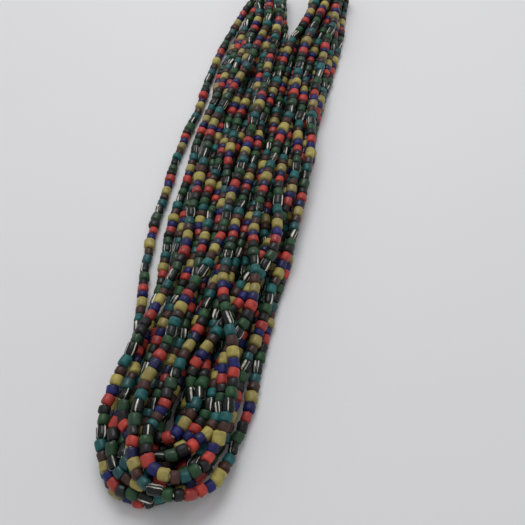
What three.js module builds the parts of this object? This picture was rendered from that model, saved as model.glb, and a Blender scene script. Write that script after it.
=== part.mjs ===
// A necklace of many strings of small glass beads, folded in two and lying on a flat surface.
// Millimetres. X runs across the two legs, Y from the bend to the clasp, and Z is up.
// Each string is one solid round its beads. All strings are laid from a table of hand-chosen
// lanes and then settled: they drop, rest on each other and on the surface, and never cross.
import * as THREE from "three";

// Driving dimensions
const STRING_DIAMETER = 4.3; // over the beads, across the corners of the section
const STRING_SIDES = 8;
const STRING_GAP = 0.25; // least clear space between two strings
const STRAIGHT_STEP = 16; // distance between sections where a string runs straight
const BEND_STEP = 7.5; // and where it bends, below BEND_REACH
const BEND_REACH = 48;

const END_Y = 303; // where the last beads of both legs end
const LEFT_END_X = -12; // middle of the left leg's bound end
const RIGHT_END_X = 24;
const BUNDLE_ROWS = [4, 3, 4, 3]; // strings in each row of a bound end, from the bottom up

const GATHER_LENGTH = 17; // threads drawn together behind the last beads
const GATHER_CLEARANCE = 0.3; // between the last beads and the gathered threads
const GATHER_MARGIN = 1; // threads outside the outermost strings' middles
const GATHER_STEPS = 5;
const THREAD_SIDES = 16;
const NECK_DIAMETER = 5.2; // the bound threads
const NECK_TURN = 9; // radius of the quarter turn towards the clasp
const NECK_STEPS = 6;
const CLASP_DIAMETER = 6.4;
const CLASP_GROOVE = 0.5; // depth of the groove between the two halves of the barrel
const CLASP_GROOVE_WIDTH = 1.2;
const CLASP_CHAMFER = 0.8;
const CLASP_SIDES = 24;
const CLASP_CLEARANCE = 0.3; // between a neck and the clasp

const BEAD_COLOUR = 0x3e4f45;
const THREAD_COLOUR = 0xe6e0d2;
const CLASP_COLOUR = 0xb9b3a4;

// The route of each string. left and right are the lane's X at each of LEG_STATIONS, from the
// bound end down to the bend, and bend lists the points [X, Y] between the legs. lay is the
// string's place, from the bottom up, in the left leg, in the bend and in the right leg.
const LEG_STATIONS = [280, 255, 215, 175, 140, 105, 80, 58, 38];
const ROUTES = [
  {
    left: [-22.5, -30, -30.5, -31.8, -32.3, -30.5, -23, -17.5, -14],
    bend: [[-11, 24], [-4.5, 14.5], [2, 13.5], [8, 15.5], [13, 18.5], [17.2, 22.5], [19, 29]],
    right: [23, 17.5, 18, 17, 13.5, 18, 24, 17, 21.5],
    lay: [4, 11, 12],
  },
  {
    left: [-16.5, -19, -21, -23, -22.3, -20.5, -16, -17, -18.5],
    bend: [[-18, 25], [-13.4, 11.5], [-5.4, 5.2], [4, 7.5], [11.5, 13.5], [17, 22.5]],
    right: [26, 25.5, 22, 22.5, 24.6, 24, 21.5, 20, 19.5],
    lay: [5, 0, 0],
  },
  {
    left: [-5, -3.5, -13, -16.5, -13.8, -11, -12, -15.5, -18],
    bend: [[-19.5, 22.5], [-14.5, 10.5], [-6, 5], [3, 5.5], [12, 11], [18.5, 19.5]],
    right: [28.5, 28, 26.6, 30.3, 32.5, 29.5, 26, 22, 21.5],
    lay: [12, 8, 11],
  },
  {
    left: [-10, -13, -11, -11.5, -10, -6, -8.5, -12, -15.5],
    bend: [[-15.3, 26], [-12.5, 15], [-6, 8], [3, 8], [11, 12], [16, 22]],
    right: [21, 18, 18, 17, 18.5, 21, 18, 17, 17],
    lay: [10, 7, 6],
  },
  {
    left: [-3.5, -1, -5, -6.5, -2.5, 0.5, 3, 0, -11.5],
    bend: [[-12, 28], [-11, 20], [-6, 12.5], [1, 12], [6, 18], [9, 25], [12.5, 30]],
    right: [20, 14.5, 10, 10.5, 6, 11, 14, 13.5, 14],
    lay: [11, 6, 7],
  },
  {
    left: [-4, 0, 0.5, 3, 4.5, 3.5, -2.5, -4.5, -8],
    bend: [[-6.2, 21], [-3.2, 13], [1.6, 7.5], [6.3, 5.8], [12, 8.5], [18, 13.5], [23, 20.5], [26, 30]],
    right: [27, 29.5, 29, 28.5, 28, 27, 27, 27, 27.4],
    lay: [13, 12, 2],
  },
  {
    left: [-1.2, 3.6, 3, -4.5, -6, -6, -0.5, -1.5, -5],
    bend: [[-5, 26], [0, 19], [6, 20], [10, 28]],
    right: [18.3, 11.8, 10, 8, 12, 9, 8, 8, 9.5],
    lay: [9, 5, 4],
  },
  {
    left: [-18, -23, -24.5, -18, -18, -13.5, -8, -10, -12],
    bend: [[-10.5, 24], [-3.5, 15.5], [5, 16], [10.5, 25]],
    right: [22, 28, 29, 27, 20, 16, 12.5, 10.5, 12],
    lay: [0, 2, 1],
  },
  {
    left: [-14, -17, -18, -14.5, -12.7, -7, -4, -4, -5],
    bend: [[-7, 22], [-2, 14.5], [5, 11], [13, 17]],
    right: [22.5, 18.5, 17, 20, 23, 26, 16.5, 12.5, 13],
    lay: [2, 3, 10],
  },
  {
    left: [-13, -10, -13, -8, -7.3, -3, -0.5, -2, -8],
    bend: [[-13, 22], [-7, 12], [3, 9.5], [13, 14], [18.5, 24]],
    right: [24.5, 20.5, 20, 24.5, 26, 23.5, 18, 16, 16],
    lay: [3, 4, 9],
  },
  {
    left: [-7, -4, 0, 3.5, 5.5, 5.5, 5.5, 3, -1.5],
    bend: [[-2, 25], [0.3, 17], [5.8, 11], [12, 11.3], [18.8, 17], [22.5, 27]],
    right: [18, 10.3, 7.5, 6, 7.5, 7, 12, 20.5, 23],
    lay: [8, 13, 13],
  },
  {
    left: [-8, -3, -3, 0, 1.3, 3.5, 4.5, 4, 1],
    bend: [[-1.5, 31], [-0.3, 25.5], [3.5, 24], [8, 28]],
    right: [19.5, 12, 9, 9, 9.5, 9.5, 11.5, 11.5, 10.5],
    lay: [6, 10, 8],
  },
  {
    left: [-9, -6, -3.5, -2, -1, 2.5, 1.5, 0.5, -6],
    bend: [[-4.5, 28], [-1, 21.5], [3.5, 20.5], [7, 26]],
    right: [17.5, 21, 24, 22, 15.3, 13, 8, 5, 7],
    lay: [7, 9, 3],
  },
  {
    left: [-15, -15, -14, -13, -14, -8.5, -6.5, -7.5, -11],
    bend: [[-15, 23], [-9.5, 11.5], [1, 8.5], [9, 13.5], [14, 22.5]],
    right: [27.5, 30, 28.5, 28.5, 24, 20, 17, 15.5, 15.5],
    lay: [1, 1, 5],
  },
];

// How the strings settle
const DROP_ROUNDS = 420;
const DROP_GAP = 0.12; // clear space kept beyond STRING_GAP while they settle
const PUSHES = 3; // how often touching strings are moved apart in one round
const FIRST_FALL = 0.3; // how far a string may fall in the first round
const LAST_FALL = 0.06; // and in the last
const LANE_HOLD = 0.05; // share of the way back to its lane that a string takes in one round
const END_HOLD = 0.3; // and at the bound ends
const END_HOLD_LENGTH = 30;
const STIFFNESS = 0.3; // share of the way to its neighbours' mean that a section takes
const CLEAR_ROUNDS = 600;
const NEIGHBOUR_SPACINGS = 1.5; // pairs further apart than this many strings aren't looked at for a while
const NEIGHBOUR_ROUNDS = 10;
const OWN_NEIGHBOURS = 3; // a string's own segments, up to this many apart, aren't moved apart
const BEND_START = 60; // between here and BEND_END a string changes from a leg's lay to the bend's
const BEND_END = 35;

const LANE_SAMPLES = 200;
const EXACT = 1e-6;

const STRING_RADIUS = STRING_DIAMETER / 2;
const FLAT_RADIUS = STRING_RADIUS * Math.cos(Math.PI / STRING_SIDES); // to a flat of the section
const LEAST_SPACING = STRING_DIAMETER + STRING_GAP; // between the centre lines of two strings
const DROP_SPACING = LEAST_SPACING + DROP_GAP;
const ROW_RISE = (DROP_SPACING * Math.sqrt(3)) / 2; // from one row of a bound end to the next
const CLASP_Z = CLASP_DIAMETER / 2;
const CLASP_Y = END_Y + GATHER_CLEARANCE + GATHER_LENGTH + NECK_TURN;

// Where each string ends in a bound end: in rows, each row in the hollows of the one below, with
// the low strings in the low rows and each row in the order of its lanes.
function boundPlaces(side, middleX) {
  const lay = side === "left" ? 0 : 2;
  const ranked = ROUTES.map((_, i) => i).sort((a, b) => ROUTES[a].lay[lay] - ROUTES[b].lay[lay]);
  const places = [];
  let used = 0;
  BUNDLE_ROWS.forEach((count, row) => {
    const strings = ranked.slice(used, used + count);
    strings.sort((a, b) => ROUTES[a][side][0] - ROUTES[b][side][0]);
    strings.forEach((string, i) => {
      const x = middleX + (i - (count - 1) / 2) * DROP_SPACING;
      places[string] = new THREE.Vector3(x, END_Y, FLAT_RADIUS + row * ROW_RISE);
    });
    used += count;
  });
  return places;
}

function laneCurve(index) {
  const route = ROUTES[index];
  const leg = (lanes) => LEG_STATIONS.map((y, i) => [lanes[i], y]);
  const start = boundPlaces("left", LEFT_END_X)[index].toArray();
  const end = boundPlaces("right", RIGHT_END_X)[index].toArray();
  const points = [start, ...leg(route.left), ...route.bend, ...leg(route.right).reverse(), end];
  return new THREE.CatmullRomCurve3(
    points.map(([x, y]) => new THREE.Vector3(x, y, 0)),
    false,
    "centripetal",
  );
}

// The height at which a section starts, above everything that lies under it.
function startHeight(route, y, leg) {
  const inLeg = THREE.MathUtils.smoothstep(y, BEND_END, BEND_START);
  const [left, bend, right] = route.lay;
  const order = THREE.MathUtils.lerp(bend, leg === "left" ? left : right, inLeg);
  return FLAT_RADIUS + order * DROP_SPACING;
}

// A string's sections: where each one is, and where its lane wants it.
function startSections(route, index) {
  const curve = laneCurve(index);
  const length = curve.getLength();
  const places = [];
  for (let s = 0; s < length; ) {
    const y = curve.getPointAt(s / length).y;
    places.push(s);
    s += y < BEND_REACH ? BEND_STEP : STRAIGHT_STEP;
  }
  const stretch = length / places[places.length - 1];
  const lowest = curve.getSpacedPoints(LANE_SAMPLES).reduce((a, b) => (b.y < a.y ? b : a));
  const lowestAt = lowest.x;
  const sections = places.map((s) => {
    const lane = curve.getPointAt(Math.min(1, (s * stretch) / length));
    const leg = lane.x < lowestAt ? "left" : "right";
    const at = lane.clone().setZ(startHeight(route, lane.y, leg));
    const hold = THREE.MathUtils.mapLinear(lane.y, END_Y - END_HOLD_LENGTH, END_Y, LANE_HOLD, END_HOLD);
    return { at, lane, hold: Math.max(LANE_HOLD, hold), boundZ: null };
  });
  sections[0].boundZ = boundPlaces("left", LEFT_END_X)[index].z;
  sections[sections.length - 1].boundZ = boundPlaces("right", RIGHT_END_X)[index].z;
  return sections;
}

// The nearest points of the segments ab and cd, as shares of their lengths.
function nearestShares(a, b, c, d) {
  const ux = b.x - a.x, uy = b.y - a.y, uz = b.z - a.z;
  const vx = d.x - c.x, vy = d.y - c.y, vz = d.z - c.z;
  const wx = a.x - c.x, wy = a.y - c.y, wz = a.z - c.z;
  const uu = ux * ux + uy * uy + uz * uz;
  const vv = vx * vx + vy * vy + vz * vz;
  const uv = ux * vx + uy * vy + uz * vz;
  const uw = ux * wx + uy * wy + uz * wz;
  const vw = vx * wx + vy * wy + vz * wz;
  const clamp = (x) => Math.min(1, Math.max(0, x));
  const determinant = uu * vv - uv * uv;
  let s = determinant > EXACT * uu * vv ? clamp((uv * vw - vv * uw) / determinant) : 0.5;
  const t = clamp((s * uv + vw) / vv);
  s = clamp((t * uv - uw) / uu);
  return [s, t];
}

function segmentsOf(strings) {
  return strings.flatMap((sections, string) =>
    sections.slice(1).map((end, i) => ({ string, a: sections[i], b: end })),
  );
}

function nearPairs(segments) {
  const middle = segments.map(({ a, b }) => [(a.at.x + b.at.x) / 2, (a.at.y + b.at.y) / 2]);
  const half = segments.map(({ a, b }) => Math.hypot(a.at.x - b.at.x, a.at.y - b.at.y) / 2);
  const pairs = [];
  for (let i = 0; i < segments.length; i++)
    for (let j = i + 1; j < segments.length; j++) {
      if (segments[i].string === segments[j].string && j - i <= OWN_NEIGHBOURS) continue;
      const reach = half[i] + half[j] + NEIGHBOUR_SPACINGS * LEAST_SPACING;
      if (Math.abs(middle[i][1] - middle[j][1]) > reach) continue;
      if (Math.abs(middle[i][0] - middle[j][0]) > reach) continue;
      pairs.push([segments[i], segments[j]]);
    }
  return pairs;
}

const between = new THREE.Vector3();
const onFirst = new THREE.Vector3();
const onSecond = new THREE.Vector3();

// Moves two segments apart until they are `spacing` apart, and says how much they lacked.
function pushApart([p, q], spacing) {
  const [s, t] = nearestShares(p.a.at, p.b.at, q.a.at, q.b.at);
  onFirst.lerpVectors(p.a.at, p.b.at, s);
  onSecond.lerpVectors(q.a.at, q.b.at, t);
  between.subVectors(onFirst, onSecond);
  const distance = between.length();
  const lack = spacing - distance;
  if (lack <= 0) return 0;
  if (distance < EXACT) between.set(0, 0, 1);
  else between.divideScalar(distance);
  const weight = (1 - s) ** 2 + s ** 2 + (1 - t) ** 2 + t ** 2;
  const move = lack / weight;
  p.a.at.addScaledVector(between, move * (1 - s));
  p.b.at.addScaledVector(between, move * s);
  q.a.at.addScaledVector(between, -move * (1 - t));
  q.b.at.addScaledVector(between, -move * t);
  return lack;
}

// No string goes below the surface, and all of them end at END_Y.
function keepInPlace(strings) {
  for (const sections of strings) {
    for (const { at } of sections) at.z = Math.max(at.z, FLAT_RADIUS);
    sections[0].at.y = END_Y;
    sections[sections.length - 1].at.y = END_Y;
  }
}

// Each section moves towards the mean of its neighbours' places, measured from their lanes.
function stiffen(sections) {
  const offsets = sections.map(({ at, lane }) => at.clone().sub(lane));
  for (let i = 1; i < sections.length - 1; i++) {
    const mean = offsets[i - 1].clone().add(offsets[i + 1]).multiplyScalar(0.5);
    sections[i].at.addScaledVector(mean.sub(offsets[i]), STIFFNESS);
  }
}

function settle(routes) {
  const strings = routes.map(startSections);
  const segments = segmentsOf(strings);
  let pairs = [];
  for (let round = 0; round < DROP_ROUNDS; round++) {
    if (round % NEIGHBOUR_ROUNDS === 0) pairs = nearPairs(segments);
    const fall = THREE.MathUtils.lerp(FIRST_FALL, LAST_FALL, round / DROP_ROUNDS);
    for (const sections of strings) {
      stiffen(sections);
      for (const { at, lane, hold, boundZ } of sections) {
        at.x += (lane.x - at.x) * hold;
        at.y += (lane.y - at.y) * hold;
        at.z -= boundZ === null ? fall : (at.z - boundZ) * END_HOLD;
      }
    }
    keepInPlace(strings);
    for (let again = 0; again < PUSHES; again++) {
      for (const pair of pairs) pushApart(pair, DROP_SPACING);
      keepInPlace(strings);
    }
  }
  pairs = nearPairs(segments);
  for (let round = 0; round < CLEAR_ROUNDS; round++) {
    let most = 0;
    for (const pair of pairs) most = Math.max(most, pushApart(pair, DROP_SPACING));
    keepInPlace(strings);
    if (most < DROP_SPACING - LEAST_SPACING) break;
  }
  return strings;
}

// The line that a string follows: straight from each section to the next.
class StringLine extends THREE.Curve {
  constructor(sections) {
    super();
    this.points = sections.map(({ at }) => at.clone());
  }

  getPoint(share, target = new THREE.Vector3()) {
    const place = share * (this.points.length - 1);
    const index = Math.min(Math.floor(place), this.points.length - 2);
    return target.lerpVectors(this.points[index], this.points[index + 1], place - index);
  }

  getSpacedPoints() {
    return this.points;
  }

  // Every section stands square to the string, and the two ends face the bound threads.
  computeFrenetFrames() {
    const last = this.points.length - 1;
    const way = (i, j) => this.points[j].clone().sub(this.points[i]).normalize();
    const tangents = this.points.map((_, i) => {
      if (i === 0) return new THREE.Vector3(0, -1, 0);
      if (i === last) return new THREE.Vector3(0, 1, 0);
      return way(i - 1, i).add(way(i, i + 1)).normalize();
    });
    const up = new THREE.Vector3(0, 0, 1);
    const normals = tangents.map((tangent) => up.clone().cross(tangent).normalize());
    const binormals = tangents.map((tangent, i) => tangent.clone().cross(normals[i]));
    return { tangents, normals, binormals };
  }
}

// A regular section with a flat at the bottom.
function roundSection(radius, sides) {
  const corners = Array.from({ length: sides }, (_, i) => {
    const angle = ((i + 0.5) / sides) * 2 * Math.PI;
    return new THREE.Vector2(radius * Math.cos(angle), radius * Math.sin(angle));
  });
  return new THREE.Shape(corners);
}

function stringGeometry(sections) {
  return new THREE.ExtrudeGeometry(roundSection(STRING_RADIUS, STRING_SIDES), {
    steps: sections.length - 1,
    extrudePath: new StringLine(sections),
    bevelEnabled: false,
  });
}

// A closed skin over rings of points, each ring with the same number of points.
function loftGeometry(rings) {
  const sides = rings[0].length;
  const points = rings.flat();
  const faces = [];
  for (let r = 0; r + 1 < rings.length; r++)
    for (let i = 0; i < sides; i++) {
      const next = (i + 1) % sides;
      const [a, b, c, d] = [r * sides + i, r * sides + next, (r + 1) * sides + next, (r + 1) * sides + i];
      faces.push(a, c, b, a, d, c);
    }
  const last = points.length - sides;
  for (let i = 1; i + 1 < sides; i++) {
    faces.push(0, i, i + 1);
    faces.push(last, last + i + 1, last + i);
  }
  const geometry = new THREE.BufferGeometry().setFromPoints(points).setIndex(faces);
  geometry.computeVertexNormals();
  return geometry;
}

// An oval ring: across runs level, and the ring's other axis is up.
function ovalRing(middle, across, halfWidth, halfHeight) {
  return Array.from({ length: THREAD_SIDES }, (_, i) => {
    const angle = ((i + 0.5) / THREAD_SIDES) * 2 * Math.PI;
    const point = middle.clone().addScaledVector(across, halfWidth * Math.cos(angle));
    point.z += halfHeight * Math.sin(angle);
    return point;
  });
}

// The threads of one leg, drawn together and bound, then turned towards the clasp.
// inward is +1 where the clasp lies in +X, and -1 where it lies in -X.
function threadGather(endX, inward) {
  const lastRow = BUNDLE_ROWS.length - 1;
  const startHalfWidth = ((Math.max(...BUNDLE_ROWS) - 1) / 2) * DROP_SPACING + GATHER_MARGIN;
  const startHalfHeight = (lastRow / 2) * ROW_RISE + GATHER_MARGIN;
  const startZ = FLAT_RADIUS + (lastRow / 2) * ROW_RISE;
  const startY = END_Y + GATHER_CLEARANCE;
  const neckRadius = NECK_DIAMETER / 2;
  const rings = [];
  for (let i = 0; i < GATHER_STEPS; i++) {
    const drawn = THREE.MathUtils.smoothstep(i / GATHER_STEPS, 0, 1);
    const middle = new THREE.Vector3(
      endX,
      startY + (i / GATHER_STEPS) * GATHER_LENGTH,
      THREE.MathUtils.lerp(startZ, CLASP_Z, drawn),
    );
    const halfWidth = THREE.MathUtils.lerp(startHalfWidth, neckRadius, drawn);
    const halfHeight = THREE.MathUtils.lerp(startHalfHeight, neckRadius, drawn);
    rings.push(ovalRing(middle, new THREE.Vector3(1, 0, 0), halfWidth, halfHeight));
  }
  for (let i = 0; i <= NECK_STEPS; i++) {
    const angle = (i / NECK_STEPS) * (Math.PI / 2);
    const middle = new THREE.Vector3(
      endX + inward * NECK_TURN * (1 - Math.cos(angle)),
      startY + GATHER_LENGTH + NECK_TURN * Math.sin(angle),
      CLASP_Z,
    );
    const across = new THREE.Vector3(Math.cos(angle), -inward * Math.sin(angle), 0);
    rings.push(ovalRing(middle, across, neckRadius, neckRadius));
  }
  return loftGeometry(rings);
}

// A plain barrel between the two necks, with a groove where its halves screw together.
function barrelClasp() {
  const length = RIGHT_END_X - LEFT_END_X - 2 * NECK_TURN - 2 * CLASP_CLEARANCE;
  const radius = CLASP_DIAMETER / 2;
  const half = length / 2;
  const groove = CLASP_GROOVE_WIDTH / 2;
  const profile = [
    [0, -half],
    [radius - CLASP_CHAMFER, -half],
    [radius, -half + CLASP_CHAMFER],
    [radius, -groove],
    [radius - CLASP_GROOVE, -groove],
    [radius - CLASP_GROOVE, groove],
    [radius, groove],
    [radius, half - CLASP_CHAMFER],
    [radius - CLASP_CHAMFER, half],
    [0, half],
  ].map(([r, along]) => new THREE.Vector2(r, along));
  return new THREE.LatheGeometry(profile, CLASP_SIDES);
}

function named(name, geometry, colour, finish) {
  const mesh = new THREE.Mesh(geometry, new THREE.MeshStandardMaterial({ color: colour, ...finish }));
  mesh.name = name;
  return mesh;
}

const necklace = new THREE.Group();
settle(ROUTES).forEach((sections, i) => {
  const name = `string_${String(i + 1).padStart(2, "0")}`;
  necklace.add(named(name, stringGeometry(sections), BEAD_COLOUR, { roughness: 0.5 }));
});

necklace.add(named("left_thread_gather", threadGather(LEFT_END_X, 1), THREAD_COLOUR, { roughness: 0.9 }));
necklace.add(named("right_thread_gather", threadGather(RIGHT_END_X, -1), THREAD_COLOUR, { roughness: 0.9 }));

const clasp = named("barrel_clasp", barrelClasp(), CLASP_COLOUR, { roughness: 0.35, metalness: 0.9 });
clasp.rotation.z = -Math.PI / 2;
clasp.position.set((LEFT_END_X + RIGHT_END_X) / 2, CLASP_Y, CLASP_Z);
necklace.add(clasp);

// The origin is the middle of the surface that the necklace covers.
const box = new THREE.Box3().setFromObject(necklace, true);
const middle = box.getCenter(new THREE.Vector3());
necklace.position.set(-middle.x, -middle.y, -box.min.z);

export default necklace;
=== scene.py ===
# A necklace of many strings of small matte glass beads, folded in two on a pale surface.
# Metres, +Z up, with the strings worked out in millimetres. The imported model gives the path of
# each string, and the beads are laid along it: each string of beads is one closed skin, with its
# own run of bead colours.
import math

import bmesh
import bpy
import numpy as np
from mathutils import Matrix, Vector
from mathutils.kdtree import KDTree


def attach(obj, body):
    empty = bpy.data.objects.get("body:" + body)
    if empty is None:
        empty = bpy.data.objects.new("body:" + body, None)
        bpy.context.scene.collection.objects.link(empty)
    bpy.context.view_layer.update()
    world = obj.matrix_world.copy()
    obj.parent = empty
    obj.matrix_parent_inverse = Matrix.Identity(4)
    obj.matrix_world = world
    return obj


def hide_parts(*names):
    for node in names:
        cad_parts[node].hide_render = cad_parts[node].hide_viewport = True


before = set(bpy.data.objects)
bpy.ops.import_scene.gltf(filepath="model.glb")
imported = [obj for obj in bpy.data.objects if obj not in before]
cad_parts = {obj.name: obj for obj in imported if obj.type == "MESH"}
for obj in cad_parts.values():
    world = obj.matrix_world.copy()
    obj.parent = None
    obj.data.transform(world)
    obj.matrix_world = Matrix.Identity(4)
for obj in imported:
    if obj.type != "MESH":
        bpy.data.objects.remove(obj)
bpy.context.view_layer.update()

MM = 0.001
chance = np.random.default_rng(14)

# The plan is measured in millimetres, and this is the place of its zero in the frame.
PLAN_ZERO = np.array([-0.481, -166.872, 0.0])
# What lies 1 mm higher than PLAN_LEVEL is seen this far off on the plan.
SIGHT_SHIFT = np.array([-0.237, 0.756])
PLAN_LEVEL = 8.0

# Beads

# Every string repeats these kinds in this order.
ORDER = ("red", "blue", "yellow", "brown", "teal", "striped", "green", "black")

# Millimetres: the length and the radius of a bead of each kind, and how much they vary.
BEAD_SIZES = {
    "red": dict(length=3.75, radius=2.14, length_varies=0.16, radius_varies=0.12),
    "blue": dict(length=3.35, radius=2.08, length_varies=0.18, radius_varies=0.1),
    "yellow": dict(length=4.3, radius=2.28, length_varies=0.17, radius_varies=0.13),
    "brown": dict(length=3.55, radius=2.08, length_varies=0.16, radius_varies=0.12),
    "teal": dict(length=3.9, radius=2.12, length_varies=0.15, radius_varies=0.11),
    "striped": dict(length=5.0, radius=2.04, length_varies=0.13, radius_varies=0.08),
    "green": dict(length=4.0, radius=2.14, length_varies=0.16, radius_varies=0.13),
    "black": dict(length=3.6, radius=2.14, length_varies=0.18, radius_varies=0.14),
}

MEAN_LENGTH = np.mean([size["length"] for size in BEAD_SIZES.values()])

# Half a bead from its hole to its middle: (share of the half length, share of the radius).
BEAD_PROFILE = ((1.0, 0.26), (0.975, 0.68), (0.86, 0.915), (0.55, 1.0))
BEAD_SIDES = 12
FLOOR_CLEARANCE = 0.01  # millimetres
BEAD_GAP = 0.04  # millimetres between a bead's end and the middle of the gap to the next
BEAD_TILT = 0.12  # how far a loose bead leans on its thread, as a slope
BEAD_OFFSET = 0.12  # millimetres that its middle lies beside the thread
LOOSE_LIMIT = 1.2  # the most that either can be, as a multiple of its usual size
BEND_LOOSE = 1.0  # how much more the beads lean and shift in the bend, as a share
BEAD_UNEVEN = 0.018  # how much its radius varies from place to place, as a share
BEAD_OVAL = 0.03  # the most that its radius swells on two sides, as a share
BEAD_SLANT = 0.05  # the most that its ends slant, as a slope

# How each string reads from the left leg's end: 1 where it follows ORDER, -1 where it runs
# against it. marks says where on the plan one of its beads lies, in the order of the string.
STRINGS = {
    "string_01": dict(
        reads=1,
        marks=(
            ("red", -29, 246), ("red", -29, 209), ("red", -30.5, 177), ("red", -31, 149),
            ("red", -29, 117), ("red", -25, 86.5), ("red", 16.5, 24), ("red", 16.5, 53),
            ("red", 22, 85.5), ("red", 16, 118), ("red", 13.5, 146), ("red", 16, 178),
            ("yellow", 16, 251), ("red", 21, 277),
        ),
    ),
    "string_02": dict(
        reads=-1,
        marks=(
            ("red", -20, 249), ("red", -21, 216), ("red", -23.5, 182), ("red", -22, 150),
            ("red", -21.5, 118), ("black", -18.5, 91), ("yellow", -9.5, 2.5), ("red", -0.5, 2),
            ("teal", 21.5, 245), ("red", 26, 257),
        ),
    ),
    "string_03": dict(
        reads=-1,
        marks=(
            ("red", -8, 248), ("red", -14, 214), ("yellow", -17.5, 187), ("red", -15, 143),
            ("red", -12, 109), ("red", -17, 76), ("red", -20.5, 38.5), ("red", -10.5, 6.5),
            ("red", 26.5, 76), ("red", 30, 110), ("red", 32, 144), ("red", 30, 180),
            ("red", 26.5, 212), ("yellow", 27, 241.5),
        ),
    ),
    "string_04": dict(
        reads=-1,
        marks=(
            ("red", -11, 197), ("red", -10, 168), ("red", -8, 118.5), ("red", -7.5, 94),
            ("teal", -10, 79), ("teal", -15, 47), ("red", -16, 30), ("striped", -13, 16),
            ("striped", 20, 117), ("red", 18, 137),
        ),
    ),
    "string_05": dict(
        reads=-1,
        marks=(
            ("red", -3, 228.5), ("red", -6.5, 196), ("red", -4.5, 162), ("red", -2.5, 127),
            ("red", 1, 90.5), ("red", -1.5, 60), ("red", -12, 31), ("yellow", 9, 25),
            ("red", 14, 31.5), ("red", 14, 59), ("yellow", 12.5, 114), ("yellow", 10.5, 157.5),
            ("red", 12, 187), ("red", 13, 230),
        ),
    ),
    "string_06": dict(
        reads=1,
        marks=(
            ("red", 1.5, 175), ("red", 1.5, 148), ("red", 2, 118), ("red", -4, 87.5),
            ("red", -8, 60), ("red", -7.5, 26), ("red", 16, 8), ("red", 29.5, 36),
            ("red", 29.5, 69), ("red", 31, 197), ("red", 33, 233), ("red", 33, 269),
        ),
    ),
    "string_07": dict(
        reads=-1,
        marks=(("red", 5, 240), ("red", 2, 205.5), ("yellow", -3, 179)),
    ),
    "string_08": dict(reads=1, marks=()),
    "string_09": dict(reads=1, marks=(("red", 24, 118.5), ("red", 20.5, 153))),
    "string_10": dict(
        reads=1,
        marks=(("red", 26.3, 140), ("red", 25, 173), ("red", 22, 207)),
    ),
    "string_11": dict(
        reads=1,
        marks=(
            ("red", -1.5, 41), ("red", -1, 21), ("yellow", 5, 13.5), ("yellow", 22, 31),
            ("red", 21, 57), ("red", 9.5, 90.5), ("red", 6.5, 119.5), ("red", 5.5, 174),
        ),
    ),
    "string_12": dict(reads=1, marks=(("red", 5, 26), ("red", 9, 56.5), ("teal", 10, 75))),
    "string_13": dict(reads=-1, marks=()),
    "string_14": dict(reads=1, marks=()),
}

# Paths of the strings

BEND_LEVELS = (30.0, 65.0)  # Y on the plan below which all is bend, and above which all is leg

SAME_PLACE = 0.01  # millimetres
LINE_STEP = 0.5  # millimetres between the points of a line
SMOOTHING = 7.0  # how far to each side of a corner its rounding reaches
MARK_SPACING = 5.0  # the shortest way along a string from one mark to the next
MARK_PULL = 1.8  # how far a string may be drawn sideways towards a mark
MARK_ROUNDING = 12.0  # how far to each side of a mark the rounding of that draw reaches


def rings_of(node, starts_at):
    """The sections of a swept solid as rings of places in millimetres, from the first ring on.

    starts_at takes all the places and says which of them belong to the first ring.
    """
    mesh = node.data
    places = np.array([vertex.co for vertex in mesh.vertices]) / MM
    places, which = np.unique(np.round(places, 3), axis=0, return_inverse=True)
    which = which.reshape(-1)
    joined = [set() for _ in places]
    for edge in mesh.edges:
        a, b = (int(which[i]) for i in edge.vertices)
        joined[a].add(b)
        joined[b].add(a)
    ring = set(np.flatnonzero(starts_at(places)).tolist())
    seen = set()
    rings = []
    while ring:
        rings.append(places[sorted(ring)])
        seen |= ring
        ring = set().union(*(joined[i] for i in ring)) - seen
    return rings


def at_left_end(places):
    ends = places[:, 1] > places[:, 1].max() - SAME_PLACE
    across = places[ends, 0]
    return ends & (places[:, 0] < (across.min() + across.max()) / 2)


def nearest_bend(places):
    return places[:, 1] < places[:, 1].min() + SAME_PLACE


def section_middles(node):
    """The middle of each section of a string's solid, from the left leg's end on."""
    return np.array([ring.mean(axis=0) for ring in rings_of(node, at_left_end)])


def travelled(line):
    """How far along the line each of its points is."""
    return np.concatenate([[0.0], np.cumsum(np.linalg.norm(np.diff(line, axis=0), axis=1))])


def at_lengths(line, lengths):
    along = travelled(line)
    return np.stack([np.interp(lengths, along, line[:, i]) for i in range(3)], axis=1)


def bell(rounding):
    """How many steps of a line a rounding reaches to each side, and the weight of each step."""
    reach = round(rounding / LINE_STEP)
    weights = np.hanning(2 * reach + 1)
    return reach, weights / weights.sum()


def smooth_line(middles, rounding=SMOOTHING):
    """The line through the middles, in short steps and with its corners rounded."""
    length = travelled(middles)[-1]
    line = at_lengths(middles, np.linspace(0, length, round(length / LINE_STEP) + 1))
    reach, weights = bell(rounding)
    head = 2 * line[0] - line[reach:0:-1]
    tail = 2 * line[-1] - line[-2 : -reach - 2 : -1]
    padded = np.concatenate([head, line, tail])
    return np.stack([np.convolve(padded[:, i], weights, "valid") for i in range(3)], axis=1)


def ways_and_sides(points):
    """The direction of the line at each of its points, and the level direction across it."""
    way = np.gradient(points, axis=0)
    way /= np.linalg.norm(way, axis=1, keepdims=True)
    side = np.cross(way, (0, 0, 1))
    return way, side / np.linalg.norm(side, axis=1, keepdims=True)


def seen_on_plan(line):
    return line[:, :2] - PLAN_ZERO[:2] + (line[:, 2:3] - PLAN_LEVEL) * SIGHT_SHIFT


def mark_places(line, marks):
    """How far along its string each mark is."""
    seen = seen_on_plan(line)
    along = travelled(line)
    places = []
    last = 0.0
    for kind, across, up in marks:
        off = np.hypot(*(seen - (across, up)).T)
        off[along < last + MARK_SPACING] = np.inf
        last = along[int(off.argmin())]
        places.append((kind, last))
    return places


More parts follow.
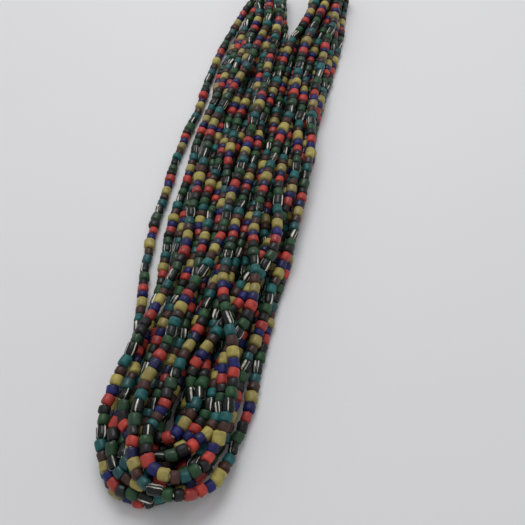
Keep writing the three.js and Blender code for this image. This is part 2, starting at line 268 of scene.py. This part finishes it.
def drawn_to_marks(line, marks):
    """The line moved sideways so that its marks are seen on it, as far as MARK_PULL lets it."""
    along = travelled(line)
    _, side = ways_and_sides(line)
    seen = seen_on_plan(line)
    places, pulls = [0.0], [0.0]
    for (_, *mark), (_, place) in zip(marks, mark_places(line, marks)):
        at = int(np.searchsorted(along, place))
        places.append(place)
        pulls.append(np.clip((mark - seen[at]) @ side[at, :2], -MARK_PULL, MARK_PULL))
    pull = np.interp(along, places + [along[-1]], pulls + [0.0])
    reach, weights = bell(MARK_ROUNDING)
    pull = np.convolve(np.pad(pull, reach), weights, "valid")
    return line + side * pull[:, None]


# Which bead comes where

SPARE = 0.12  # share of a run's beads that may lack or be too many before the run is changed


def run_of_beads(first, last, length, reads):
    """The kinds from one marked bead up to the next, left out, for a stretch of that length."""
    count = max(1, round(length / MEAN_LENGTH))
    step = (ORDER.index(last) - ORDER.index(first)) * reads % len(ORDER)
    whole = step + len(ORDER) * round((count - step) / len(ORDER))
    places = [(ORDER.index(first) + reads * i) % len(ORDER) for i in range(max(whole, 1))]
    spare = max(1, round(SPARE * whole))
    while len(places) > count + spare:
        places.pop(chance.integers(1, len(places)))
    while len(places) < count - spare:
        twice = chance.choice([i for i, place in enumerate(places) if ORDER[place] != "striped"])
        places.insert(twice, places[twice])
    return [ORDER[place] for place in places]


def bead_lengths(kinds):
    return np.array([
        BEAD_SIZES[kind]["length"] * (1 + BEAD_SIZES[kind]["length_varies"] * chance.uniform(-1, 1))
        for kind in kinds
    ])


def string_beads(line, reads, marks):
    """The kinds and lengths of a string's beads, from the left leg's end on. They fill the line."""
    total = travelled(line)[-1]
    places = mark_places(line, marks) or [(ORDER[chance.integers(len(ORDER))], total / 2)]
    kinds = []
    lengths = []

    def lay(stretch_kinds, length):
        sizes = bead_lengths(stretch_kinds)
        kinds.extend(stretch_kinds)
        lengths.extend(sizes * length / sizes.sum())

    # A mark is the middle of its bead, so a stretch starts half a bead before it.
    start = places[0][1] - MEAN_LENGTH / 2
    lead = round(start / MEAN_LENGTH)
    first = ORDER.index(places[0][0])
    lay([ORDER[(first - reads * i) % len(ORDER)] for i in range(lead, 0, -1)], start)
    for (kind, at), (next_kind, next_at) in zip(places, places[1:]):
        lay(run_of_beads(kind, next_kind, next_at - at, reads), next_at - at)
    rest = total - places[-1][1] + MEAN_LENGTH / 2
    last = ORDER.index(places[-1][0])
    lay([ORDER[(last + reads * i) % len(ORDER)] for i in range(round(rest / MEAN_LENGTH))], rest)
    return kinds, np.array(lengths)


def bead_radii(kinds):
    return np.array([
        size["radius"] * (1 + size["radius_varies"] * chance.uniform(-1, 1))
        for size in (BEAD_SIZES[kind] for kind in kinds)
    ])


# How the strings lie

WAVES = ((17, 0.32), (31, 0.5), (53, 0.6))  # length and height of the waves, in millimetres
WAVE_TAPER = 30  # millimetres from a string's end in which they grow to their full height
WAVE_DRIFT = 0.8  # how far a wave runs ahead or stays behind, as an angle
DRIFT_SCALE = 90  # millimetres along the string in which the drift turns by one radian
BEND_WAVES = 1.4  # how many times higher the waves are in the bend
BEND_LIFT = 0.6  # and how high they rise and fall there, as a share of their height sideways
LIFT_RATE = 1.3  # how many times quicker they rise and fall than they swing sideways
SETTLE_ROUNDS = 160
PUSHES = 2  # how often in each round the beads push each other apart
PUSH = 1.5  # how far, as a multiple of what would just part them
PUSH_SPOTS = (0.25, 0.75)  # where on a bead the two points are that stand for it in a push
NEIGHBOUR_ROUNDS = 16  # rounds for which the same neighbours are looked at
NEIGHBOUR_REACH = 6.0  # millimetres between the points of two neighbours
LOOSE = 0.04  # share of the way back to its path that a joint takes in one round
WEIGHT = 0.025  # millimetres that a joint falls in one round
RELEASE_ROUNDS = 60  # the last rounds, in which path and weight let go, so that no bead is pressed
STRAIGHTEN = 0.08  # likewise, of the way to the middle between the joints beside it
TINY = 1e-6  # so that nothing is divided by 0


def bend_share(points):
    """1 in the bend and 0 in the legs, for each point."""
    return np.interp(points[:, 1] - PLAN_ZERO[1], BEND_LEVELS, (1, 0))


def waved(points, total):
    """The points with slow irregular waves, none at the ends of the string."""
    along = travelled(points)
    taper = np.clip(np.minimum(along, total - along) / WAVE_TAPER, 0, 1)
    bend = bend_share(points)
    sideways = np.zeros(len(points))
    upwards = np.zeros(len(points))
    for length, height in WAVES:
        turn, drift = chance.uniform(0, 2 * math.pi, 2)
        phase = 2 * math.pi * along / length + turn
        phase += WAVE_DRIFT * np.sin(along / DRIFT_SCALE + drift)
        sideways += height * np.sin(phase) * (1 + (BEND_WAVES - 1) * bend)
        upwards += height * np.cos(LIFT_RATE * phase) * BEND_WAVES * BEND_LIFT * bend
    _, side = ways_and_sides(points)
    points = points + side * (sideways * taper)[:, None]
    points[:, 2] += upwards * taper
    return points


def near_pairs(points, owners):
    """The pairs of points that lie near each other and belong to two strings."""
    tree = KDTree(len(points))
    for i, point in enumerate(points):
        tree.insert(point, i)
    tree.balance()
    pairs = [
        (i, j)
        for i, point in enumerate(points)
        for _, j, _ in tree.find_range(point, NEIGHBOUR_REACH)
        if j > i and owners[i] != owners[j]
    ]
    return np.array(pairs)


def settle(paths, lengths, radii):
    """The joints between the beads of each string, once the beads have pushed each other apart."""
    counts = [len(path) for path in paths]
    firsts = np.cumsum([0] + counts[:-1])
    home = np.concatenate(paths)
    joints = home.copy()
    # A bead lies between the joints `starts` and `starts + 1`.
    starts = np.concatenate([np.arange(first, first + n - 1) for first, n in zip(firsts, counts)])
    owners = np.repeat(np.arange(len(paths)), [n - 1 for n in counts])
    rest = np.concatenate(lengths)
    radius = np.concatenate(radii)
    ends = np.concatenate([firsts, firsts + counts - 1])
    floor = np.zeros(len(joints))
    np.maximum.at(floor, starts, radius)
    np.maximum.at(floor, starts + 1, radius)
    inner = np.ones(len(joints), bool)
    inner[ends] = False
    middle = np.flatnonzero(inner)
    bead = np.repeat(np.arange(len(starts)), len(PUSH_SPOTS))
    share = np.tile(PUSH_SPOTS, len(starts))[:, None]
    a, b = starts[bead], starts[bead] + 1
    odd = np.arange(len(starts)) % 2 == 1

    def push_apart(spots, pairs):
        p, q = pairs.T
        apart = spots[p] - spots[q]
        distance = np.maximum(np.linalg.norm(apart, axis=1), TINY)
        lack = np.maximum(radius[bead[p]] + radius[bead[q]] - distance, 0)
        push = apart * (lack / distance * 0.5)[:, None]
        shift = np.zeros_like(joints)
        weight = np.zeros(len(joints))
        touching = lack > 0
        for spot, sign in ((p, 1), (q, -1)):
            spot, moved = spot[touching], push[touching] * sign
            for joint, part in ((a[spot], 1 - share[spot]), (b[spot], share[spot])):
                np.add.at(shift, joint, moved * part)
                np.add.at(weight, joint, part[:, 0])
        shift /= np.maximum(weight, 1)[:, None]
        shift[ends] = 0
        joints[:] += PUSH * shift
        joints[:, 2] = np.maximum(joints[:, 2], floor)

    def keep_lengths():
        for half in (odd, ~odd):
            i = starts[half]
            reach = joints[i + 1] - joints[i]
            length = np.linalg.norm(reach, axis=1, keepdims=True)
            fix = reach * (1 - rest[half][:, None] / length) / 2
            free_a, free_b = inner[i][:, None], inner[i + 1][:, None]
            joints[i] += fix * free_a * np.where(free_b, 1, 2)
            joints[i + 1] -= fix * free_b * np.where(free_a, 1, 2)

    for turn in range(SETTLE_ROUNDS):
        hold = min(1.0, (SETTLE_ROUNDS - turn) / RELEASE_ROUNDS)
        joints[middle] += (home[middle] - joints[middle]) * LOOSE * hold
        joints[middle, 2] -= WEIGHT * hold
        bent = (joints[middle - 1] + joints[middle + 1]) / 2 - joints[middle]
        joints[middle] += bent * STRAIGHTEN
        for again in range(PUSHES):
            spots = joints[a] * (1 - share) + joints[b] * share
            if turn % NEIGHBOUR_ROUNDS == 0 and not again:
                pairs = near_pairs(spots, owners[bead])
            push_apart(spots, pairs)
            keep_lengths()
    return [joints[first : first + n] for first, n in zip(firsts, counts)]


# Meshes

ALMOST_ROUND = 2 * math.pi - 1e-4  # an angle that rounding has put just below 0 counts as 0


def placed(name, data):
    """A new object of that name in the scene."""
    made = bpy.data.objects.new(name, data)
    bpy.context.scene.collection.objects.link(made)
    return made


def bead_blank():
    """The rings of places of a bead of radius 1, open at both holes, along Z from -1 to 1."""
    bm = bmesh.new()
    stations = [(-along, radius) for along, radius in BEAD_PROFILE]
    stations += [(along, radius) for along, radius in reversed(BEAD_PROFILE)]
    along, radius = stations[0]
    ring = bmesh.ops.create_circle(
        bm, segments=BEAD_SIDES, radius=radius, matrix=Matrix.Translation((0, 0, along))
    )["verts"]
    edges = list(bm.edges)
    rings = [ring]
    for (was_along, was_radius), (along, radius) in zip(stations, stations[1:]):
        made = bmesh.ops.extrude_edge_only(bm, edges=edges)["geom"]
        ring = [item for item in made if isinstance(item, bmesh.types.BMVert)]
        edges = [
            item for item in made
            if isinstance(item, bmesh.types.BMEdge) and all(end in ring for end in item.verts)
        ]
        wider = radius / was_radius
        bmesh.ops.scale(bm, vec=(wider, wider, 1), verts=ring)
        bmesh.ops.translate(bm, vec=(0, 0, along - was_along), verts=ring)
        rings.append(ring)

    def angle(vertex):
        return math.atan2(vertex.co.y, vertex.co.x) % ALMOST_ROUND

    blank = np.array([[tuple(vertex.co) for vertex in sorted(ring, key=angle)] for ring in rings])
    bm.free()
    return blank


BLANK = bead_blank()
RINGS = len(BLANK)


def bead_axes(joints):
    """Each bead's axis and two directions across it, hardly turned from one bead to the next."""
    way = np.diff(joints, axis=0)
    way /= np.linalg.norm(way, axis=1, keepdims=True)
    across = np.cross(way[0], (0, 0, 1))
    first = []
    for axis in way:
        across = across - axis * across.dot(axis)
        across = across / np.linalg.norm(across)
        first.append(across)
    first = np.array(first)
    return way, first, np.cross(way, first)


def bead_places(joints, radii):
    """The places of all the beads of a string: bead by bead, ring by ring, and round each ring."""
    count = len(radii)
    way, first, second = bead_axes(joints)
    middle = (joints[1:] + joints[:-1]) / 2
    loose = 1 + BEND_LOOSE * bend_share(middle)[:, None]
    tilt, offset = (
        size * np.clip(chance.normal(0, 1, (2, count, 1)), -LOOSE_LIMIT, LOOSE_LIMIT) * loose
        for size in (BEAD_TILT, BEAD_OFFSET)
    )
    middle += first * offset[0] + second * offset[1]
    way, first, second = (
        way + first * tilt[0] + second * tilt[1],
        first - way * tilt[0],
        second - way * tilt[1],
    )
    half = np.linalg.norm(np.diff(joints, axis=0), axis=1) / 2 - BEAD_GAP
    angle = np.arctan2(BLANK[..., 1], BLANK[..., 0])
    oval, slant = chance.uniform(0, BEAD_OVAL, count), chance.uniform(0, BEAD_SLANT, count)
    turn, lean = chance.uniform(0, 2 * math.pi, (2, count))
    swell = 1 + oval[:, None, None] * np.cos(2 * (angle - turn[:, None, None]))
    swell += chance.normal(0, BEAD_UNEVEN, (count, RINGS, BEAD_SIDES))
    x = BLANK[..., 0] * radii[:, None, None] * swell
    y = BLANK[..., 1] * radii[:, None, None] * swell
    z = BLANK[..., 2] * half[:, None, None]
    z += slant[:, None, None] * np.hypot(x, y) * np.cos(angle - lean[:, None, None])
    places = (
        middle[:, None, None, :]
        + x[..., None] * first[:, None, None, :]
        + y[..., None] * second[:, None, None, :]
        + z[..., None] * way[:, None, None, :]
    )
    lowest = places[..., 2].min(axis=(1, 2), keepdims=True)
    places[..., 2] += np.maximum(FLOOR_CLEARANCE - lowest, 0)
    return places


def string_skin(name, places, kinds):
    """One closed skin over all the beads of a string and the thread between them."""
    count = len(kinds)
    rows = count * RINGS
    corner = np.arange(rows * BEAD_SIDES).reshape(rows, BEAD_SIDES)
    around = np.roll(corner, -1, axis=1)
    quads = np.stack([corner[:-1], around[:-1], around[1:], corner[1:]], axis=-1).reshape(-1, 4)
    faces = quads.tolist()
    faces.append(corner[0][::-1].tolist())
    faces.append(corner[-1].tolist())
    mesh = bpy.data.meshes.new(name)
    mesh.from_pydata((places.reshape(-1, 3) * MM).tolist(), [], faces)
    # Which kind each face belongs to: the bands between two beads and both ends are thread.
    band = np.arange(rows - 1)
    thread = KINDS.index("thread")
    of_kind = np.array([KINDS.index(kinds[i // RINGS]) for i in band])
    of_kind[band % RINGS == RINGS - 1] = thread
    slots = np.concatenate([np.repeat(of_kind, BEAD_SIDES), [thread] * 2])
    mesh.polygons.foreach_set("material_index", slots.astype(np.int32))
    mesh.polygons.foreach_set("use_smooth", np.ones(len(faces), bool))
    # The map runs once round each bead and once along it.
    side = np.tile(np.arange(BEAD_SIDES), rows - 1)
    along = np.tile((BLANK[:, 0, 2] + 1) / 2, count)
    low, high = np.repeat(along[:-1], BEAD_SIDES), np.repeat(along[1:], BEAD_SIDES)
    u = np.stack([side, side + 1, side + 1, side], axis=1) / BEAD_SIDES
    v = np.stack([low, low, high, high], axis=1)
    caps = np.zeros((2 * BEAD_SIDES, 2))
    uv = np.concatenate([np.stack([u, v], axis=-1).reshape(-1, 2), caps])
    mesh.uv_layers.new(name="bead_map").data.foreach_set("uv", uv.reshape(-1).astype(np.float32))
    tints = np.repeat(chance.uniform(0, 1, count), RINGS * BEAD_SIDES)
    tint = mesh.attributes.new("bead_tint", "FLOAT", "POINT")
    tint.data.foreach_set("value", tints.astype(np.float32))
    mesh.validate()
    for kind in KINDS:
        mesh.materials.append(FINISHES[kind])
    return placed(name, mesh)


# Finishes

NOISE_SPREAD = (0.3, 0.7)  # a noise stays between these for the most part

# Shares of the way round a bead: each stripe's middle and half its width.
STRIPES = ((0.06, 0.014), (0.29, 0.009), (0.6, 0.025), (0.71, 0.007))
STRIPE_EDGE = 0.008  # likewise, how wide its soft edge is
STRIPE_WOBBLE = 0.01  # and how far its sides waver
STRIPE_TURNS = 7.3  # the stripes are turned on by this times the bead's own number


def linear(red, green, blue):
    """A screen colour from 0 to 255 as the linear colour that a shader takes."""
    def channel(value):
        value /= 255
        return value / 12.92 if value <= 0.04045 else ((value + 0.055) / 1.055) ** 2.4

    return (channel(red), channel(green), channel(blue), 1.0)


class Finish:
    """A material under construction: a Principled shader and the nodes that feed it."""

    def __init__(self, name):
        self.material = bpy.data.materials.new(name)
        self.material.use_nodes = True
        self.tree = self.material.node_tree
        self.shader = self.tree.nodes["Principled BSDF"]

    def node(self, kind, **settings):
        made = self.tree.nodes.new(kind)
        for key, value in settings.items():
            setattr(made, key, value)
        return made

    def feed(self, socket, value):
        """Give a socket a value of its own, or what another node puts out."""
        if isinstance(value, bpy.types.NodeSocket):
            self.tree.links.new(value, socket)
        else:
            socket.default_value = value

    def surface(self, name, value):
        self.feed(self.shader.inputs[name], value)

    def noise(self, scale, detail=2.0, roughness=0.5):
        place = self.node("ShaderNodeTexCoord")
        made = self.node("ShaderNodeTexNoise")
        self.feed(made.inputs["Scale"], scale)
        self.feed(made.inputs["Detail"], detail)
        self.feed(made.inputs["Roughness"], roughness)
        self.feed(made.inputs["Vector"], place.outputs["Object"])
        return made.outputs["Fac"]

    def remap(self, source, reach, to_low, to_high):
        """The source with its reach, from low to high, turned into the other one."""
        made = self.node("ShaderNodeMapRange")
        keys = ("Value", "From Min", "From Max", "To Min", "To Max")
        for key, value in zip(keys, (source, *reach, to_low, to_high)):
            self.feed(made.inputs[key], value)
        return made.outputs["Result"]

    def math(self, operation, *values):
        made = self.node("ShaderNodeMath", operation=operation)
        for socket, value in zip(made.inputs, values):
            self.feed(socket, value)
        return made.outputs[0]

    def mix(self, share, first, second):
        made = self.node("ShaderNodeMix", data_type="RGBA")
        for place, value in ((0, share), (6, first), (7, second)):
            self.feed(made.inputs[place], value)
        return made.outputs[2]

    def bump(self, height, strength, distance):
        made = self.node("ShaderNodeBump")
        self.feed(made.inputs["Strength"], strength)
        self.feed(made.inputs["Distance"], distance)
        self.feed(made.inputs["Height"], height)
        self.surface("Normal", made.outputs["Normal"])

    def tint(self):
        """A number from 0 to 1 that each bead has of its own."""
        return self.node("ShaderNodeAttribute", attribute_name="bead_tint").outputs["Fac"]


def matte_glass(name, pale, deep):
    """Frosted glass: cloudy between two tones, each bead a little lighter or darker."""
    finish = Finish(name)
    tint = finish.tint()
    cloud = finish.remap(finish.noise(420, 3.0), NOISE_SPREAD, 0.0, 0.75)
    colour = finish.mix(cloud, linear(*pale), linear(*deep))
    dim = finish.remap(tint, (0.0, 1.0), 0.0, 0.75)
    finish.surface("Base Color", finish.mix(dim, colour, linear(*deep)))
    finish.surface("Roughness", finish.remap(finish.noise(900, 3.0), NOISE_SPREAD, 0.36, 0.58))
    finish.surface("Specular IOR Level", 0.26)
    finish.surface("Coat Weight", finish.remap(tint, (0.4, 1.0), 0.0, 0.4))
    finish.surface("Coat Roughness", 0.16)
    finish.bump(finish.noise(1600, 4.0, 0.6), 0.25, 0.0002)
    return finish.material


def stripe_ramp(finish, share):
    """1 on the stripes and 0 between them, for a share of the way round the bead."""
    ramp = finish.node("ShaderNodeValToRGB")
    ramp.color_ramp.interpolation = "LINEAR"
    stops = ramp.color_ramp.elements
    stops[0].position, stops[1].position = 0.0, 1.0
    stops[1].color = (0, 0, 0, 1)
    for middle, half in STRIPES:
        outer = half + STRIPE_EDGE
        for offset, level in ((-outer, 0), (-half, 1), (half, 1), (outer, 0)):
            stops.new(middle + offset).color = (level, level, level, 1)
    finish.feed(ramp.inputs[0], share)
    return ramp.outputs["Color"]


def striped_glass(name, dark, deep, pale):
    """Dark glossy glass with white stripes along the bead, no two beads alike."""
    finish = Finish(name)
    parts = finish.node("ShaderNodeSeparateXYZ")
    finish.feed(parts.inputs[0], finish.node("ShaderNodeUVMap", uv_map="bead_map").outputs["UV"])
    turned = finish.math("MULTIPLY_ADD", finish.tint(), STRIPE_TURNS, parts.outputs["X"])
    wobble = finish.remap(finish.noise(300, 1.0), NOISE_SPREAD, -STRIPE_WOBBLE, STRIPE_WOBBLE)
    stripes = stripe_ramp(finish, finish.math("FRACT", finish.math("ADD", turned, wobble)))
    worn = finish.remap(finish.noise(330, 2.0), (0.38, 0.52), 0.3, 1.0)
    cloud = finish.remap(finish.noise(300), NOISE_SPREAD, 0.0, 1.0)
    glass = finish.mix(cloud, linear(*dark), linear(*deep))
    shown = finish.math("MULTIPLY", stripes, worn)
    finish.surface("Base Color", finish.mix(shown, glass, linear(*pale)))
    finish.surface("Roughness", 0.28)
    finish.surface("Specular IOR Level", 0.3)
    finish.bump(finish.noise(900, 2.0), 0.12, 0.0002)
    return finish.material


def cotton(name, pale, deep):
    """Matte twisted cotton, a little soiled."""
    finish = Finish(name)
    soil = finish.remap(finish.noise(260, 3.0), (0.35, 0.7), 0.0, 0.8)
    finish.surface("Base Color", finish.mix(soil, linear(*pale), linear(*deep)))
    finish.surface("Roughness", 0.9)
    finish.surface("Sheen Weight", 0.3)
    finish.bump(finish.noise(3000, 3.0, 0.7), 0.5, 0.0002)
    return finish.material


def worn_metal(name, tone):
    """A plain plated clasp with fine scratches and a duller haze."""
    finish = Finish(name)
    haze = finish.noise(500, 4.0)
    dull = linear(*(0.8 * part for part in tone))
    finish.surface("Base Color", finish.mix(haze, linear(*tone), dull))
    finish.surface("Metallic", 1.0)
    finish.surface("Roughness", finish.remap(haze, NOISE_SPREAD, 0.22, 0.42))
    finish.bump(finish.noise(4000, 3.0), 0.1, 0.0001)
    return finish.material


FINISHES = {
    "red": matte_glass("coral_red_glass", (206, 74, 60), (128, 42, 42)),
    "blue": matte_glass("navy_blue_glass", (38, 42, 112), (18, 20, 46)),
    "yellow": matte_glass("ochre_yellow_glass", (190, 177, 97), (122, 109, 62)),
    "brown": matte_glass("brown_glass", (84, 52, 44), (42, 31, 30)),
    "teal": matte_glass("teal_glass", (42, 112, 110), (18, 58, 62)),
    "striped": striped_glass("striped_glass", (22, 30, 27), (11, 17, 15), (222, 218, 204)),
    "green": matte_glass("dark_green_glass", (52, 92, 56), (24, 47, 32)),
    "black": matte_glass("charcoal_glass", (38, 35, 37), (19, 18, 21)),
    "thread": cotton("cotton_thread", (228, 222, 210), (188, 176, 160)),
}
KINDS = tuple(FINISHES)

# The strings

lines = {
    name: drawn_to_marks(smooth_line(section_middles(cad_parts[name])), chart["marks"])
    for name, chart in STRINGS.items()
}
laid = {name: string_beads(lines[name], **chart) for name, chart in STRINGS.items()}
radii = {name: bead_radii(kinds) for name, (kinds, _) in laid.items()}
paths = {}
for name, (kinds, lengths) in laid.items():
    joints = at_lengths(lines[name], np.concatenate([[0.0], np.cumsum(lengths)]))
    paths[name] = waved(joints, lengths.sum())
all_lengths = [lengths for _, lengths in laid.values()]
paths = dict(zip(paths, settle(list(paths.values()), all_lengths, list(radii.values()))))

for name, joints in paths.items():
    piece = string_skin(name + "_beads", bead_places(joints, radii[name]), laid[name][0])
    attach(piece, "root")
    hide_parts(name)

# Bound ends and clasp

PLY_RADIUS = 0.27  # millimetres; a thread is two plies twisted together
PLY_TWIST = 2.6  # length of one turn of the plies
PLY_OFFSET = 0.9  # from the middle of the thread to that of a ply, in radii of the ply
THREAD_ROUNDING = 2.0
THREAD_START = 0.6  # how deep a thread starts inside the last bead
WHIPPING_RADIUS = 0.3
WHIPPING_RISE = 0.72  # from one turn of the whipping to the next
WHIPPING_START = 0.3  # share of the gathered threads' length where the whipping starts
STEPS_ROUND = 10  # of a turn of the whipping or of the plies
CORD_BEVEL = 1  # this gives a cord's section six sides


def wound(line, radius, rise, turn):
    """A helix of that radius round the line."""
    length = travelled(line)[-1]
    steps = round(length / rise * STEPS_ROUND)
    middle = at_lengths(line, np.linspace(0, length, steps + 1))
    way, side = ways_and_sides(middle)
    angle = (turn + 2 * math.pi * np.arange(steps + 1) / STEPS_ROUND)[:, None]
    return middle + radius * (side * np.cos(angle) + np.cross(side, way) * np.sin(angle))


def cords(name, courses):
    """Round cords along the courses, each (points, radius), as one mesh with closed ends."""
    curve = bpy.data.curves.new(name, "CURVE")
    curve.dimensions = "3D"
    curve.bevel_depth = 1.0
    curve.bevel_resolution = CORD_BEVEL
    curve.use_fill_caps = True
    for points, radius in courses:
        spline = curve.splines.new("POLY")
        spline.points.add(len(points) - 1)
        spline.points.foreach_set("co", np.c_[points * MM, np.ones(len(points))].ravel())
        spline.points.foreach_set("radius", np.full(len(points), radius * MM))
    shaped = placed(name + "_curve", curve)
    bpy.context.view_layer.update()
    seen = bpy.context.evaluated_depsgraph_get()
    mesh = bpy.data.meshes.new_from_object(shaped.evaluated_get(seen))
    bpy.data.objects.remove(shaped)
    bpy.data.curves.remove(curve)
    mesh.name = name
    mesh.polygons.foreach_set("use_smooth", np.ones(len(mesh.polygons), bool))
    mesh.materials.clear()
    mesh.materials.append(FINISHES["thread"])
    return placed(name, mesh)


def thread_courses(node, string_ends):
    """The threads of one leg: from the last beads together into the neck, and whipped there."""
    rings = rings_of(node, nearest_bend)
    middles = np.array([ring.mean(axis=0) for ring in rings])
    heights = np.array([np.ptp(ring[:, 2]) / 2 for ring in rings])
    widths = np.array([
        np.linalg.norm((ring - middle)[:, :2], axis=1).max()
        for ring, middle in zip(rings, middles)
    ])
    _, across = ways_and_sides(middles)
    courses = []
    inside = 2 * WHIPPING_RADIUS + 2 * PLY_RADIUS
    for end in string_ends:
        offset = end - middles[0]
        share = np.array([offset[0] / widths[0], offset[2] / heights[0]])
        held = share / max(1.0, np.hypot(*share))
        thread = middles[1:] + across[1:] * (held[0] * (widths[1:, None] - inside))
        thread[:, 2] += held[1] * (heights[1:] - inside)
        start = end - (0, THREAD_START, 0)
        line = smooth_line(np.concatenate([[start, end], thread]), THREAD_ROUNDING)
        turn = chance.uniform(0, 2 * math.pi)
        for ply in (0, math.pi):
            helix = wound(line, PLY_RADIUS * PLY_OFFSET, PLY_TWIST, turn + ply)
            courses.append((helix, PLY_RADIUS))
    neck = smooth_line(middles, THREAD_ROUNDING)
    length = travelled(neck)[-1]
    start = WHIPPING_START * length
    neck = at_lengths(neck, np.linspace(start, length, round((length - start) / LINE_STEP)))
    reach = np.interp(travelled(neck) + start, travelled(middles), np.minimum(widths, heights))
    whipping = wound(neck, 1.0, WHIPPING_RISE, 0.0)
    centre = at_lengths(neck, np.linspace(0, travelled(neck)[-1], len(whipping)))
    wide = np.interp(np.linspace(0, 1, len(whipping)), np.linspace(0, 1, len(neck)), reach)
    whipping = centre + (whipping - centre) * (wide - WHIPPING_RADIUS)[:, None]
    courses.append((whipping, WHIPPING_RADIUS))
    return courses


for node, end in (("left_thread_gather", 0), ("right_thread_gather", -1)):
    string_ends = [joints[end] for joints in paths.values()]
    piece = cords(node + "_threads", thread_courses(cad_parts[node], string_ends))
    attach(piece, "root")
    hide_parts(node)

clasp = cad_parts["barrel_clasp"].data
clasp.materials.clear()
clasp.materials.append(worn_metal("worn_plated_metal", (196, 188, 172)))

# Floor, light and camera

FLOOR_HALF = 1.5  # metres from its middle to its edge
KEY_LIGHT = (-0.08, 0.45, 0.85)
DAYLIGHT = (0.94, 0.94, 0.95, 1)
DAYLIGHT_STRENGTH = 0.55
CAMERA_PLACE = (77.117, -70.308, 241.854)  # millimetres on the plan and above it
CAMERA_RIGHT = Vector((0.97774, 0.19067, -0.08760))
CAMERA_DOWN = Vector((0.09750, -0.78252, -0.61494))
CAMERA_AHEAD = Vector((-0.18580, 0.59271, -0.78369))


def pale_floor():
    bm = bmesh.new()
    bmesh.ops.create_grid(bm, x_segments=1, y_segments=1, size=FLOOR_HALF)
    mesh = bpy.data.meshes.new("floor")
    bm.to_mesh(mesh)
    bm.free()
    finish = Finish("pale_floor")
    tones = linear(226, 226, 228), linear(220, 220, 222)
    finish.surface("Base Color", finish.mix(finish.noise(6, 2.0), *tones))
    finish.surface("Roughness", 0.6)
    mesh.materials.append(finish.material)
    placed("floor", mesh)


def soft_light(name, place, aim, size, power):
    data = bpy.data.lights.new(name, "AREA")
    data.size = size
    data.energy = power
    light = placed(name, data)
    light.location = place
    light.rotation_euler = (Vector(aim) - Vector(place)).to_track_quat("-Z", "Y").to_euler()


pale_floor()
soft_light("key_light", KEY_LIGHT, (0, 0, 0), 0.6, 4.4)

scene = bpy.context.scene
scene.world = bpy.data.worlds.new("studio")
scene.world.use_nodes = True
background = scene.world.node_tree.nodes["Background"]
background.inputs["Color"].default_value = DAYLIGHT
background.inputs["Strength"].default_value = DAYLIGHT_STRENGTH
scene.view_settings.view_transform = "Standard"

camera_data = bpy.data.cameras.new("camera")
camera_data.sensor_width = 36
camera_data.lens = 50.28
camera_data.clip_start = 0.01
camera = placed("camera", camera_data)
turned = Matrix((CAMERA_RIGHT, -CAMERA_DOWN, -CAMERA_AHEAD)).transposed().to_4x4()
camera.matrix_world = Matrix.Translation((PLAN_ZERO + CAMERA_PLACE) * MM) @ turned
scene.camera = camera

bpy.context.view_layer.update()
